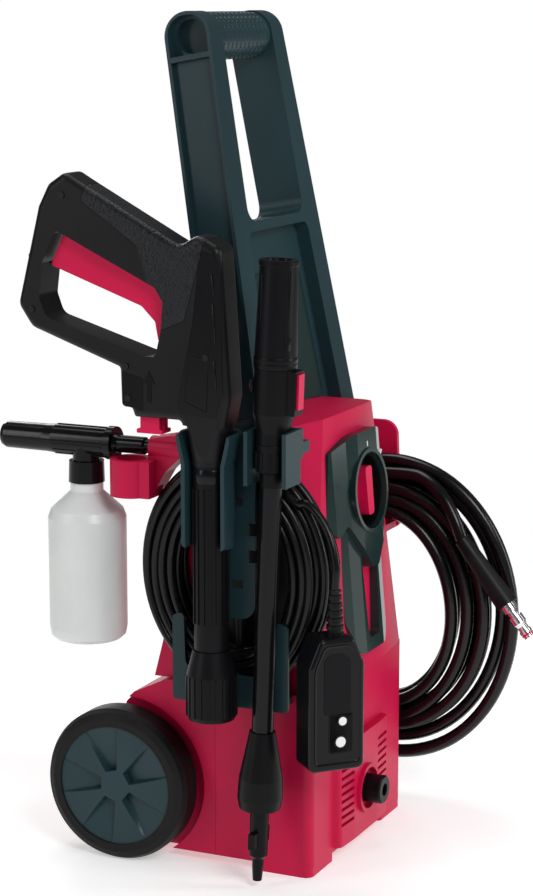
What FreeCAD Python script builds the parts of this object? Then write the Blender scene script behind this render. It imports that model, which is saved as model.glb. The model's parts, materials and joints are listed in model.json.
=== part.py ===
"""Electric pressure washer on two wheels, with its gun, lance, soap bottle, cord and hose.

All lengths are millimetres. The origin is on the floor, on the machine's centre line.
+Z is up, the control knob faces -Y, the gun and the cord hang on the -X side (left)
and the hose hangs on the +X side (right). The wheels' axle runs along X.
"""
import FreeCAD, Part
import Sketcher
import math
import os

V = FreeCAD.Vector

# ---------------------------------------------------------------- driving dimensions

SIZES = [
    ("wheel_radius", 77, "outside of a tyre"),
    ("wheel_width", 38, "width of a tyre"),
    ("wheel_inside", 114.5, "centre line to a wheel's inner face"),
    ("hub_radius", 60, "hub, and the inside of the tyre"),
    ("axle_back", 78, "axle behind the origin"),
    ("axle_radius", 5, "steel axle"),
    ("base_half", 119, "half the width of the base"),
    ("base_front", 120, "base front face ahead of the origin"),
    ("base_back", 88, "base back face behind the origin"),
    ("base_low", 9, "underside of the base shells"),
    ("base_high", 183, "top of the base"),
    ("wall", 3, "wall of the mouldings"),
    ("base_seam", 17, "seam of the base shells ahead of the origin"),
    ("tower_half", 112, "half the width of the tower"),
    ("tower_high", 447, "crown of the tower"),
    ("tower_seam", 40, "seam of the tower covers ahead of the origin"),
    ("handle_foot_half", 115, "handle outside half width at its foot"),
    ("handle_depth", 48, "handle front to back"),
    ("handle_length", 382, "handle foot to the grip's centre"),
    ("handle_lean", 10.2, "handle leaning back, degrees"),
    ("handle_taper", 0.0801, "narrowing of each side per unit of height"),
    ("grip_radius", 22.5, "hand grip"),
    ("dial_radius", 38, "control dial opening"),
    ("dial_high", 365, "centre of the dial"),
    ("dial_front", 131, "dial face ahead of the origin"),
    ("bezel_lean", 5, "control face leaning back, degrees"),
    ("gun_out", 171, "gun's middle plane from the centre line"),
    ("gun_half", 18, "half the thickness of the gun"),
    ("barrel_ahead", 39, "gun barrel ahead of the origin"),
    ("barrel_radius", 16.5, "short lance under the gun"),
    ("lance_out", 160, "long lance from the centre line"),
    ("lance_lean", 2.16, "long lance leaning forward, degrees"),
    ("bottle_out", 128, "soap nozzle and bottle from the centre line"),
    ("bottle_back", 117, "bottle behind the origin"),
    ("bottle_radius", 38.5, "soap bottle"),
    ("soap_high", 417, "soap nozzle's centre line"),
    ("cord_width", 8.5, "power cord"),
    ("hose_width", 14, "high pressure hose"),
    ("plug_width", 56, "plug body"),
    ("plug_height", 128, "plug body"),
    ("plug_depth", 36, "plug body"),
    ("outlet_bore", 6.5, "water outlet hole radius"),
    ("inlet_pin", 13.2, "water inlet stub radius"),
]

doc = FreeCAD.newDocument("pressure_washer")
sheet = doc.addObject("Spreadsheet::Sheet", "sizes")
for line, (alias, value, note) in enumerate(SIZES, start=1):
    sheet.set(f"A{line}", note)
    sheet.set(f"B{line}", str(value))
    sheet.setAlias(f"B{line}", alias)
doc.recompute()


class Size:
    """A number together with the spreadsheet formula that it comes from."""

    def __init__(self, value, formula):
        self.value = value
        self.formula = formula

    def _join(self, sign, other, value):
        right = other.formula if isinstance(other, Size) else repr(other)
        return Size(value, f"({self.formula} {sign} {right})")

    def __add__(self, other):
        return self._join("+", other, self.value + plain(other))

    def __sub__(self, other):
        return self._join("-", other, self.value - plain(other))

    def __mul__(self, other):
        return self._join("*", other, self.value * plain(other))

    def __truediv__(self, other):
        return self._join("/", other, self.value / plain(other))

    def __neg__(self):
        return Size(-self.value, f"(0 - {self.formula})")


def plain(size):
    """The bare number of a Size, or the number itself."""
    return size.value if isinstance(size, Size) else size


class Sizes:
    """The spreadsheet's cells by name."""

    def __getattr__(self, alias):
        return Size(float(sheet.get(alias)), f"sizes.{alias}")


S = Sizes()
N = {alias: float(value) for alias, value, note in SIZES}
NODES = []


# ---------------------------------------------------------------- helpers

def keep(thing, label):
    """Names a finished sub-part and lists it for export."""
    thing.Label = label
    NODES.append(thing)
    return thing


def bind(thing, **sizes):
    """Sets properties, and ties each one given as a Size to the spreadsheet."""
    for name, size in sizes.items():
        setattr(thing, name, plain(size))
        if isinstance(size, Size):
            thing.setExpression(name, size.formula)
    return thing


def move(thing, at=(0, 0, 0), axis=(0, 0, 1), turn=0):
    """Places a sub-part, tying each coordinate given as a Size to the spreadsheet."""
    where = V(*[plain(c) for c in at])
    thing.Placement = FreeCAD.Placement(where, FreeCAD.Rotation(V(*axis), turn))
    for name, size in zip("xyz", at):
        if isinstance(size, Size):
            thing.setExpression(f"Placement.Base.{name}", size.formula)
    return thing


def box(low, high):
    """A box between two corners."""
    spans = [h - l if isinstance(h, Size) or not isinstance(l, Size) else -(l - h) for l, h in zip(low, high)]
    thing = doc.addObject("Part::Box", "box")
    bind(thing, Length=spans[0], Width=spans[1], Height=spans[2])
    return move(thing, low)


POINTING = {"X": ((0, 1, 0), 90), "-X": ((0, 1, 0), -90), "Y": ((1, 0, 0), -90),
            "-Y": ((1, 0, 0), 90), "Z": ((0, 0, 1), 0), "-Z": ((1, 0, 0), 180)}


def rod(radius, length, at, along="Z"):
    """A cylinder from a point along a signed axis."""
    thing = bind(doc.addObject("Part::Cylinder", "rod"), Radius=radius, Height=length)
    return move(thing, at, *POINTING[along])


def taper(radius1, radius2, length, at, along="Z"):
    """A cone from a point along a signed axis."""
    thing = bind(doc.addObject("Part::Cone", "taper"), Radius1=radius1, Radius2=radius2, Height=length)
    return move(thing, at, *POINTING[along])


def cut(base, *tools):
    """The base with every tool taken away."""
    thing = doc.addObject("Part::Cut", "cut")
    thing.Base = base
    thing.Tool = tools[0] if len(tools) == 1 else fuse(*tools)
    return thing


def fuse(*pieces):
    """One solid of several pieces."""
    thing = doc.addObject("Part::MultiFuse", "fuse")
    thing.Shapes = list(pieces)
    thing.Refine = True
    return thing


def common(*pieces):
    """What several pieces share."""
    thing = doc.addObject("Part::MultiCommon", "common")
    thing.Shapes = list(pieces)
    return thing


def rounded(corners, radius=0):
    """A closed wire through 2-D corners; a corner is (a, b) or (a, b, its own radius)."""
    flat = [V(plain(c[0]), plain(c[1]), 0) for c in corners]
    radii = [plain(c[2]) if len(c) > 2 else plain(radius) for c in corners]
    starts, ends, middles = [], [], []
    for i, corner in enumerate(flat):
        back = (flat[i - 1] - corner)
        ahead = (flat[(i + 1) % len(flat)] - corner)
        half = back.getAngle(ahead) / 2
        reach = radii[i] / math.tan(half) if radii[i] else 0
        reach = min(reach, 0.49 * back.Length, 0.49 * ahead.Length)
        bow = reach * math.tan(half)
        back.normalize()
        ahead.normalize()
        starts.append(corner + back * reach)
        ends.append(corner + ahead * reach)
        inward = back + ahead
        if reach > 1e-6 and inward.Length > 1e-6:
            inward.normalize()
            middles.append(corner + inward * (bow / math.sin(half) - bow))
        else:
            middles.append(None)
    edges = []
    for i in range(len(flat)):
        if middles[i] is not None:
            edges.append(Part.Arc(starts[i], middles[i], ends[i]).toShape())
        after = starts[(i + 1) % len(flat)]
        if (after - ends[i]).Length > 1e-4:
            edges.append(Part.LineSegment(ends[i], after).toShape())
    return Part.Wire(edges)


# each plane: (first axis, second axis) of the 2-D corners, and the direction of the thickness
FACING = {"YZ": FreeCAD.Matrix(0, 0, 1, 0, 1, 0, 0, 0, 0, 1, 0, 0),
          "XZ": FreeCAD.Matrix(1, 0, 0, 0, 0, 0, 1, 0, 0, 1, 0, 0),
          "XY": FreeCAD.Matrix()}


def slab_shape(plane, corners, low, high, radius=0, holes=()):
    """An outline on a plane, thickened from low to high along the third axis."""
    face = Part.Face([rounded(corners, radius)] + [rounded(hole, radius) for hole in holes])
    face.validate()
    solid = face.extrude(V(0, 0, plain(high) - plain(low)))
    solid.translate(V(0, 0, plain(low)))
    solid = solid.transformGeometry(FACING[plane])
    if solid.Volume < 0:
        solid.reverse()
    return solid


def feature(shape, name="shape"):
    """A document object that holds a shape made with Part's own functions."""
    thing = doc.addObject("Part::Feature", name)
    thing.Shape = shape
    return thing


def slab(plane, corners, low, high, radius=0, holes=()):
    """The same outline as a document object."""
    return feature(slab_shape(plane, corners, low, high, radius, holes), "slab")


def origin_plane(body, role):
    """One of a body's own origin planes."""
    return next(f for f in body.Origin.OriginFeatures if f.Role == role)


def sketch_outline(body, role, corners, name):
    """A closed, fully placed sketch on one of a body's origin planes."""
    sketch = body.newObject("Sketcher::SketchObject", name)
    sketch.AttachmentSupport = [(origin_plane(body, role), "")]
    sketch.MapMode = "FlatFace"
    flat = [V(plain(a), plain(b), 0) for a, b in corners]
    count = len(flat)
    for i in range(count):
        sketch.addGeometry(Part.LineSegment(flat[i], flat[(i + 1) % count]), False)
    for i in range(count):
        sketch.addConstraint(Sketcher.Constraint("Coincident", i, 2, (i + 1) % count, 1))
    for i, corner in enumerate(corners):
        for kind, size in zip(("DistanceX", "DistanceY"), corner):
            sketch.addConstraint(Sketcher.Constraint(kind, -1, 1, i, 1, float(plain(size))))
            if isinstance(size, Size):
                sketch.setExpression(f"Constraints[{sketch.ConstraintCount - 1}]", size.formula)
    return sketch


def spun(profile, at, along="Z", name="spun"):
    """A PartDesign body turned about its own axis; the profile is (radius, height) corners."""
    body = doc.addObject("PartDesign::Body", name)
    sketch = sketch_outline(body, "XZ_Plane", profile, name + "_profile")
    turn = body.newObject("PartDesign::Revolution", name + "_turn")
    turn.Profile = sketch
    turn.ReferenceAxis = (sketch, ["V_Axis"])
    turn.Angle = 360
    sketch.Visibility = False
    body.Tip = turn
    return move(body, at, *POINTING[along])


def ribs(radius, low, high, count, at, along="Z", width=2.0, depth=1.2, sunk=0.6):
    """Straight raised ribs round a cylinder."""
    bars = []
    for i in range(count):
        bar = Part.makeBox(width, depth + sunk, high - low, V(-width / 2, radius - sunk, low))
        bar.rotate(V(0, 0, 0), V(0, 0, 1), 360 * i / count)
        bars.append(bar)
    shape = Part.makeCompound(bars)
    return move(feature(shape, "ribs"), at, *POINTING[along])


def round_edges(thing, radius, choose):
    """A filleted copy; choose(edge) says which edges are rounded."""
    doc.recompute()
    edges = [edge for edge in thing.Shape.Edges if choose(edge)]
    return feature(thing.Shape.makeFillet(radius, edges), "rounded")


def middle(edge):
    """The point half way along an edge."""
    return edge.valueAt((edge.FirstParameter + edge.LastParameter) / 2)


def route_path(points):
    """Straight runs joined by tangent arcs, each arc as large as its two runs allow."""
    spots = [V(*p) for p in points]
    edges, radii = [], []
    last = spots[0]
    for i in range(1, len(spots) - 1):
        back = spots[i - 1] - spots[i]
        ahead = spots[i + 1] - spots[i]
        half = back.getAngle(ahead) / 2
        reach = 0.45 * min(back.Length, ahead.Length)
        bow = reach * math.tan(half)
        radii.append(bow)
        back.normalize()
        ahead.normalize()
        start = spots[i] + back * reach
        end = spots[i] + ahead * reach
        inward = back + ahead
        inward.normalize()
        middle_point = spots[i] + inward * (bow / math.sin(half) - bow)
        edges.append(Part.LineSegment(last, start).toShape())
        edges.append(Part.Arc(start, middle_point, end).toShape())
        last = end
    edges.append(Part.LineSegment(last, spots[-1]).toShape())
    return Part.Wire(edges), radii


def tube_along(points, width, label):
    """A cord's plain round tube along its route, with its volume checked."""
    path, radii = route_path(points)
    first = path.Edges[0]
    circle = Part.Wire(Part.Circle(V(*points[0]), first.tangentAt(first.FirstParameter), width / 2).toShape())
    solid = Part.Wire(path).makePipeShell([circle], True, False)
    if solid.Volume < 0:
        solid.reverse()
    expected = math.pi * width ** 2 / 4 * path.Length
    print(f"{label}: length {path.Length:.0f}, radii {[round(r) for r in radii]}, "
          f"volume / expected {solid.Volume / expected:.4f}")
    return keep(feature(solid, label), label)


def oval_disc(centre, half_y, half_z, low, high):
    """An oval block whose axis is X, from x = low to x = high."""
    grow = FreeCAD.Matrix()
    grow.A11, grow.A22, grow.A33 = half_z, half_y, high - low
    disc = Part.makeCylinder(1, 1).transformGeometry(grow)
    disc.rotate(V(0, 0, 0), V(0, 1, 0), 90)
    disc.translate(V(low, *centre))
    return disc


def oval_ring(centre, outer, inner, low, high, label):
    """The outer shape of a coil: an oval ring whose axis is X. outer and inner are (half y, half z)."""
    ring = oval_disc(centre, *outer, low, high).cut(oval_disc(centre, *inner, low, high))
    return keep(feature(ring, label), label)


# ---------------------------------------------------------------- wheels and axle



def tyre(side):
    """A black tyre with rounded shoulders."""
    along = "X" if side > 0 else "-X"
    width, shoulder = S.wheel_width, 9
    profile = [(S.hub_radius, 0), (S.wheel_radius - shoulder, 0), (S.wheel_radius - 3, 3),
               (S.wheel_radius, shoulder), (S.wheel_radius, width - shoulder),
               (S.wheel_radius - 3, width - 3), (S.wheel_radius - shoulder, width), (S.hub_radius, width)]
    inside = S.wheel_inside if side > 0 else -S.wheel_inside
    return spun(profile, (inside, S.axle_back, S.wheel_radius), along, "tyre")


def hub(side):
    """A hub disc with five scoops in its closed outer face, deepest near the middle, and a blind bore."""
    inside = S.wheel_inside * side
    bore, face = S.axle_radius + 0.05, S.wheel_width - 1.5
    profile = [(bore, 3), (S.hub_radius, 3), (S.hub_radius, face), (0, face), (0, 31), (bore, 31)]
    along = "X" if side > 0 else "-X"
    body = spun(profile, (inside, S.axle_back, S.wheel_radius), along, "hub")
    doc.recompute()
    shape = body.Shape
    face_x = side * (N["wheel_inside"] + plain(face))
    levels = []
    near_middle = (15, ((-7, 2), (7, 2), (4, -8), (-4, -8)))
    near_rim = (59, ((-21, 2), (21, 2), (17, -0.5), (-17, -0.5)))
    for reach, corners in (near_middle, near_rim):
        spots = [V(face_x + side * height, across + N["axle_back"], reach + N["wheel_radius"])
                 for across, height in corners]
        levels.append(Part.makePolygon(spots + spots[:1]))
    scoop = Part.makeLoft(levels, True, True)
    for i in range(5):
        turned_scoop = scoop.copy()
        turned_scoop.rotate(V(0, N["axle_back"], N["wheel_radius"]), V(1, 0, 0), -15 + 72 * i)
        shape = shape.cut(turned_scoop)
    return feature(shape, "hub")


for side, name in ((-1, "left"), (1, "right")):
    keep(tyre(side), f"wheel_{name}_tyre")
    keep(hub(side), f"wheel_{name}_hub")

axle_half = 145
keep(rod(S.axle_radius, 2 * axle_half, (-axle_half, S.axle_back, S.wheel_radius), "X"), "axle")

# ---------------------------------------------------------------- base shells

half, wall = N["base_half"], N["wall"]
front, back = -N["base_front"], N["base_back"]
low, high = N["base_low"], N["base_high"]
seam = -N["base_seam"]
seam_gap = 0.15
arch_radius = N["wheel_radius"] + 6
arch_inside = 106
panel_half, panel_front, panel_top = 65, -129, 117
outlet_high = 58


def base_front_shell():
    """Front half of the base: two feet, a proud middle panel with vents and the outlet's ring."""
    block = box((-S.base_half, -S.base_front, S.base_low), (S.base_half, seam - seam_gap, S.base_high))
    doc.recompute()
    block = round_edges(block, 9, lambda e: middle(e).y < front + 1 and abs(middle(e).x) > half - 1)
    panel = slab("XY", [(-panel_half, front + 2), (-panel_half + 4, panel_front + 2, 6), (-30, panel_front, 60),
                        (30, panel_front, 60), (panel_half - 4, panel_front + 2, 6), (panel_half, front + 2)],
                 low + 4, panel_top)
    feet = [slab("XY", [(sign * 62, -60), (sign * 62, front + 0.5, 4), (sign * half, front + 0.5, 8),
                        (sign * half, -60)], 0, low + 1) for sign in (-1, 1)]
    ring = rod(25, 6, (0, panel_front + 2, outlet_high), "-Y")
    shell = fuse(block, panel, ring, *feet)
    inside = box((-half + wall, front + wall, low + wall), (half - wall, seam + 1, high - wall))
    mouth = box((-100, -108, high - wall - 1), (100, seam + 1, high + 1))
    dish = rod(21, 8, (0, panel_front + 2.5, outlet_high), "-Y")
    hole = rod(15.3, 30, (0, front + 10, outlet_high), "-Y")
    slots = [box((sign * 45 - 14, panel_front - 1, z), (sign * 45 + 14, front + wall + 1, z + 3.5))
             for sign in (-1, 1) for z in range(34, 100, 8)]
    return cut(shell, inside, mouth, dish, hole, *slots)


def base_rear_shell():
    """Back half of the base, with a wheel arch and its liner on each side."""
    outline = [(seam + seam_gap, low), (back, low, 8), (back, 150, 6), (72, 165.7, 4), (36, high, 30),
               (seam + seam_gap, high)]
    inner = [(seam - 1, low + wall), (back - wall, low + wall, 5), (back - wall, 149, 3), (70, 163, 3),
             (35, high - wall, 25), (seam - 1, high - wall)]
    outer = slab("YZ", outline, -half, half)
    shell = cut(outer, slab("YZ", inner, -half + wall, half - wall),
                box((-100, seam - 1, high - wall - 1), (100, 44, high + 1)))
    solid = slab("YZ", outline, -half, half)
    liners, arches = [], []
    for along, sign in (("-X", -1), ("X", 1)):
        at = (sign * (arch_inside - wall), S.axle_back, S.wheel_radius)
        liners.append(common(solid, rod(arch_radius + wall, half - arch_inside + wall, at, along)))
        at = (sign * arch_inside, S.axle_back, S.wheel_radius)
        arches.append(rod(arch_radius, 30, at, along))
    bore = rod(S.axle_radius + 0.3, 260, (-130, S.axle_back, S.wheel_radius), "X")
    inlet = rod(16.3, 20, (0, back - 12, 100), "Y")
    return cut(fuse(shell, *liners), *arches, bore, inlet)


keep(base_front_shell(), "base_front_shell")
keep(base_rear_shell(), "base_rear_shell")
tray = box((-55, -100, 0), (55, 12, low - 0.1))
keep(cut(tray, box((-52, -97, 2.5), (52, 9, low + 1))), "base_floor_plate")

# ---------------------------------------------------------------- tower covers

tower_half, crown = N["tower_half"], N["tower_high"]
shoulder_high = 434
cross_low, cross_high = high, 455


def tower_section(z, inset):
    """One level of the tower: a bowed front, two slanted facets, flat sides and back."""
    rise = (z - 183) / (441 - 183)
    front_half = 110 - 48 * rise - 0.6 * inset
    front_y = -120 + 14 * rise + inset
    side_y = -117 + 51 * rise + 0.6 * inset
    rear_y = 52.4 - 67.1 * rise - inset
    side_x = tower_half - inset
    corners = [V(front_half, front_y, z), V(side_x, side_y, z), V(side_x, rear_y, z),
               V(-side_x, rear_y, z), V(-side_x, side_y, z), V(-front_half, front_y, z)]
    edges = [Part.LineSegment(corners[i], corners[i + 1]).toShape() for i in range(5)]
    edges.append(Part.Arc(corners[5], V(0, front_y - 9, z), corners[0]).toShape())
    return Part.Wire(edges)


def arch_block(top, bottom, drop=13, reach=200):
    """A block under a shallow crown that falls off towards both sides."""
    side, fall = tower_half + 10, drop * 1.15
    arc = Part.Arc(V(-side, 0, top - fall), V(0, 0, top), V(side, 0, top - fall))
    left, right = arc.StartPoint, arc.EndPoint
    foot = [V(right.x, 0, bottom), V(left.x, 0, bottom)]
    edges = [arc.toShape(), Part.LineSegment(right, foot[0]).toShape(),
             Part.LineSegment(foot[0], foot[1]).toShape(), Part.LineSegment(foot[1], left).toShape()]
    solid = Part.Face(Part.Wire(edges)).extrude(V(0, 2 * reach, 0))
    solid.translate(V(0, -reach, 0))
    return solid


def tower_solid(inset, top, bottom):
    """The tower's full form, drawn in from its faces by an inset."""
    loft = Part.makeLoft([tower_section(bottom, inset), tower_section(cross_high, inset)], True, True)
    return loft.common(arch_block(top, bottom))


outer = tower_solid(0, crown, cross_low + 0.1)
hollow = tower_solid(wall, crown - wall, cross_low)
tower_shell = outer.cut(hollow)
seam_y = -N["tower_seam"]
behind = Part.makeBox(300, 300, 400, V(-150, seam_y + seam_gap, 150))
ahead = Part.makeBox(300, 300, 400, V(-150, seam_y - seam_gap - 300, 150))
front_cover = tower_shell.common(ahead)
dish_room = Part.makeCylinder(N["dial_radius"] + 2, 40, V(0, -140, N["dial_high"]), V(0, 1, 0))
keep(feature(front_cover.cut(dish_room), "front_cover"), "tower_front_cover")
vents = Part.makeCompound([Part.makeBox(90, 60, 4, V(-45, -10, z)) for z in range(230, 330, 12)])
rear_cover = tower_shell.common(behind).cut(vents)
keep(feature(rear_cover, "rear_cover"), "tower_rear_cover")

# ---------------------------------------------------------------- handle

lean = FreeCAD.Placement(V(0, -65, shoulder_high), FreeCAD.Rotation(V(1, 0, 0), -N["handle_lean"]))
handle_depth, grip_up = N["handle_depth"], N["handle_length"]
foot_half, narrowing = N["handle_foot_half"], N["handle_taper"]
upright_width, top_width = 34, 26
gap_low = 200
foot_low = -20


def handle_half(up):
    """The handle's outside half width at a height up its own length."""
    return foot_half - narrowing * up


def handle_frame():
    """Two leaning uprights joined by a low recessed panel; their tops are round in side view."""
    top = grip_up + handle_depth
    sides = [(-handle_half(foot_low), foot_low), (handle_half(foot_low), foot_low),
             (handle_half(top), top), (-handle_half(top), top)]
    trapezoid = slab_shape("XZ", sides, 0, handle_depth)
    round_top, rim = handle_depth / 2, 3.5
    side_view = slab_shape("YZ", [(0, foot_low), (handle_depth, foot_low),
                                  (handle_depth, grip_up + round_top, round_top - 0.01),
                                  (0, grip_up + round_top, round_top - 0.01)], -150, 150)
    body = trapezoid.common(side_view)
    low_inside, top_inside = handle_half(gap_low) - upright_width, handle_half(top) - top_width
    inner = [(-low_inside, gap_low, 14), (low_inside, gap_low, 14), (top_inside, top + 9), (-top_inside, top + 9)]
    body = body.cut(slab_shape("XZ", inner, -5, handle_depth + 5))
    recess = [(-handle_half(foot_low) + 30, foot_low - 5), (handle_half(foot_low) - 30, foot_low - 5),
              (handle_half(gap_low) - 30, gap_low - 10, 10), (-handle_half(gap_low) + 30, gap_low - 10, 10)]
    body = body.cut(slab_shape("XZ", recess, -5, 13))
    back_room = [(-handle_half(foot_low) + 6, foot_low - 5), (handle_half(foot_low) - 6, foot_low - 5),
                 (handle_half(gap_low) - 8, gap_low - 8, 6), (-handle_half(gap_low) + 8, gap_low - 8, 6)]
    body = body.cut(slab_shape("XZ", back_room, 17, handle_depth - 4))
    for sign in (-1, 1):
        side = [(sign * (handle_half(16) - 6), 16), (sign * (handle_half(16) + 9), 16),
                (sign * (handle_half(360) + 9), 360), (sign * (handle_half(360) - 6), 360)]
        body = body.cut(slab_shape("XZ", side, rim, handle_depth - rim))
        crown_room = [(rim, 365), (handle_depth - rim, 365),
                      (handle_depth - rim, grip_up + round_top - rim, round_top - rim - 0.01),
                      (rim, grip_up + round_top - rim, round_top - rim - 0.01)]
        ends = sorted((sign * (handle_half(grip_up) - 11), sign * 150))
        body = body.cut(slab_shape("YZ", crown_room, *ends))
        tube_end = Part.makeCylinder(16.5, 40, V(sign * (handle_half(grip_up) - 20), handle_depth / 2, grip_up),
                                     V(sign, 0, 0))
        body = body.cut(tube_end)
    body.Placement = lean
    return body.cut(arch_block(crown + 0.1, 300))


frame = handle_frame()
keep(feature(frame, "handle_frame"), "handle_frame")
grip_half = 64
grip_end = V(-grip_half, handle_depth / 2, grip_up)
grip = Part.makeCylinder(N["grip_radius"], 2 * grip_half, grip_end, V(1, 0, 0))
grip.Placement = lean
keep(feature(grip.cut(frame), "handle_grip"), "handle_grip")

# ---------------------------------------------------------------- controls

dial_face = FreeCAD.Placement(V(0, -N["dial_front"], N["dial_high"]),
                              FreeCAD.Rotation(V(1, 0, 0), -N["bezel_lean"]))
dial_radius = N["dial_radius"]


def mirrored(points):
    """A right-hand outline followed by its mirror image."""
    return points + [(-p[0],) + tuple(p[1:]) for p in reversed(points)]


def control_bezel():
    """A shield with an arched top, bevelled wings and a pointed foot, over an open lower frame."""
    shield = [(30, 60, 70), (63, 47, 4), (70, -26, 3), (57, -38, 2), (46, -27, 2), (8, -76, 3)]
    plate = slab_shape("XZ", mirrored(shield), 0, 24)
    section = mirrored([(70.5, 32), (69, 19), (60, 13), (42, 5), (24, 0)])
    bevel = slab_shape("XY", section, -90, 80)
    plate = plate.common(bevel)
    ring = Part.makeCylinder(dial_radius + 4, 6, V(0, -1.6, 0), V(0, 1, 0))
    plate = plate.fuse(ring)
    lower = mirrored([(50, -20), (48, -125, 30), (33, -160, 14)])
    window = mirrored([(19, -62, 3), (13, -147, 6)])
    lower_section = mirrored([(51, 40), (49, 18), (40, 11), (22, 7)])
    lower_frame = slab_shape("XZ", lower, 7, 28, 0, [window]).common(
        slab_shape("XY", lower_section, -170, 0))
    body = plate.fuse(lower_frame).cut(Part.makeCylinder(dial_radius, 60, V(0, -20, 0), V(0, 1, 0)))
    body.Placement = dial_face
    return body.cut(outer)


bezel = control_bezel()
keep(feature(bezel.removeSplitter(), "control_bezel"), "control_bezel")
cup = Part.makeCylinder(dial_radius - 0.2, 16, V(0, 4, 0), V(0, 1, 0))
cup = cup.cut(Part.makeCylinder(dial_radius - 2.5, 13, V(0, 3, 0), V(0, 1, 0)))
cup = cup.cut(Part.makeCylinder(5.06, 30, V(0, 0, 0), V(0, 1, 0)))
cup.Placement = dial_face
keep(feature(cup, "switch_dish"), "switch_dish")
boss = Part.makeCylinder(15, 4.2, V(0, 11.6, 0), V(0, 1, 0))
spindle = Part.makeCylinder(5, 16, V(0, 14, 0), V(0, 1, 0))
bar = slab_shape("XZ", [(-7, -24, 4), (7, -24, 4), (8, 24, 4), (-8, 24, 4)], 0.5, 12)
knob = boss.fuse([spindle, bar]).removeSplitter()
knob.Placement = dial_face
keep(feature(knob, "switch_knob"), "switch_knob")
switch_box = Part.makeBox(44, 30, 44, V(-22, 21, -22)).cut(Part.makeCylinder(5.3, 13, V(0, 20, 0), V(0, 1, 0)))
switch_box.Placement = dial_face
keep(feature(switch_box, "switch_body"), "switch_body")

# ---------------------------------------------------------------- motor and pump

MOTOR_Y = -44
casing = spun([(7.6, 190), (50, 190), (50, 322), (7.6, 322)], (0, MOTOR_Y, 0), "Z", "casing")
keep(cut(casing, rod(46, 120, (0, MOTOR_Y, 196), "Z")), "motor_casing")
rotor_profile = [(0, 150), (7.5, 150), (7.5, 204), (34, 204), (34, 290), (7.5, 290), (7.5, 300), (42, 300),
                 (42, 310), (7.5, 310), (7.5, 330), (0, 330)]
keep(spun(rotor_profile, (0, MOTOR_Y, 0), "Z", "rotor"), "motor_rotor")
wedge_disc = Part.makeCylinder(32, 30, V(0, MOTOR_Y, 138))
slope = Part.makeBox(100, 100, 40, V(-50, -50, -40))
slope.rotate(V(0, 0, 0), V(1, 0, 0), 9)
slope.translate(V(0, MOTOR_Y, 145))
wedge_disc = wedge_disc.cut(slope).common(Part.makeBox(100, 100, 16, V(-50, MOTOR_Y - 50, 138)))
wedge_disc = wedge_disc.cut(Part.makeCylinder(7.5, 20, V(0, MOTOR_Y, 149.9)))
keep(feature(wedge_disc, "swash_plate"), "swash_plate")
pump_outer = Part.makeCylinder(42, 87, V(0, MOTOR_Y, 92))
pump_room = Part.makeCylinder(36, 45, V(0, MOTOR_Y, 134))
piston_turns = [math.radians(90 + 120 * i) for i in range(3)]
piston_spots = [V(20 * math.cos(turn), MOTOR_Y + 20 * math.sin(turn), 0) for turn in piston_turns]
bores = [Part.makeCylinder(8.05, 40, p + V(0, 0, 97)) for p in piston_spots]
keep(feature(pump_outer.cut(pump_room).cut(Part.makeCompound(bores)), "pump_body"), "pump_body")
keep(feature(Part.makeCompound([Part.makeCylinder(8, 34, p + V(0, 0, 101)) for p in piston_spots]), "pistons"),
     "pump_pistons")
manifold = box((-40, MOTOR_Y - 36, 42), (40, MOTOR_Y + 36, 91.9))
outlet_pipe = rod(8, 23.4, (0, MOTOR_Y - 36, outlet_high), "-Y")
inlet_pipe = rod(8, 82, (0, MOTOR_Y + 36, 66), "Y")
keep(fuse(manifold, outlet_pipe, inlet_pipe), "pump_manifold")

# ---------------------------------------------------------------- water fittings

outlet_front = panel_front - 20
outlet_profile = [(S.outlet_bore, 0), (15, 0), (15, 8), (12.5, 11), (12.5, 22), (14.5, 25), (14.5, 44),
                  (13, 45.5), (S.outlet_bore, 45.5)]
keep(spun(outlet_profile, (0, outlet_front + 45.5, outlet_high), "-Y", "outlet_connector"), "outlet_connector")
inlet_profile = [(6, 0), (16, 0), (16, 14), (18.5, 14), (18.5, 19), (S.inlet_pin, 19), (S.inlet_pin, 40), (6, 40)]
keep(spun(inlet_profile, (0, back - 13.5, 100), "Y", "inlet_connector"), "inlet_connector")

# ---------------------------------------------------------------- gun

gun_x, gun_half, gun_y = -N["gun_out"], N["gun_half"], -N["barrel_ahead"]
barrel_radius = N["barrel_radius"]
GUN_OUTLINE = [(133, 650, 8), (122, 671, 10), (104, 683, 9), (90, 675, 7), (-6, 624, 5), (-16, 619, 8),
               (-34, 630, 12), (-57, 618, 10), (-66, 480, 30), (-58, 440, 8), (-57, 415), (-21, 415),
               (-20, 440, 6), (-15, 456, 5), (33, 456, 2), (36, 464, 2), (47, 465, 4), (48, 502, 4),
               (142, 535, 14), (156.5, 556, 12)]
FINGER_GAP = [(113, 628, 4), (9, 579, 4), (1, 566, 5), (3, 540, 5), (9, 515, 4), (19, 514, 4),
              (125, 546, 12), (132, 565, 10), (128, 597, 4)]
TRIGGER = [(109, 626, 3), (10, 582, 3), (-2, 580, 2), (-2, 572, 2), (5.5, 542, 3), (9, 519, 3),
           (14, 546, 3), (28, 560, 8), (124, 594, 3)]
TRIGGER_PIVOT = (2, 577)
TRIGGER_SWING = 6


def turned(corners, pivot, degrees):
    """Outline corners turned in the Y-Z plane about a pivot."""
    angle = math.radians(degrees)
    out = []
    for corner in corners:
        dy, dz = corner[0] - pivot[0], corner[1] - pivot[1]
        out.append((pivot[0] + dy * math.cos(angle) - dz * math.sin(angle),
                    pivot[1] + dy * math.sin(angle) + dz * math.cos(angle)) + tuple(corner[2:]))
    return out


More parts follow.
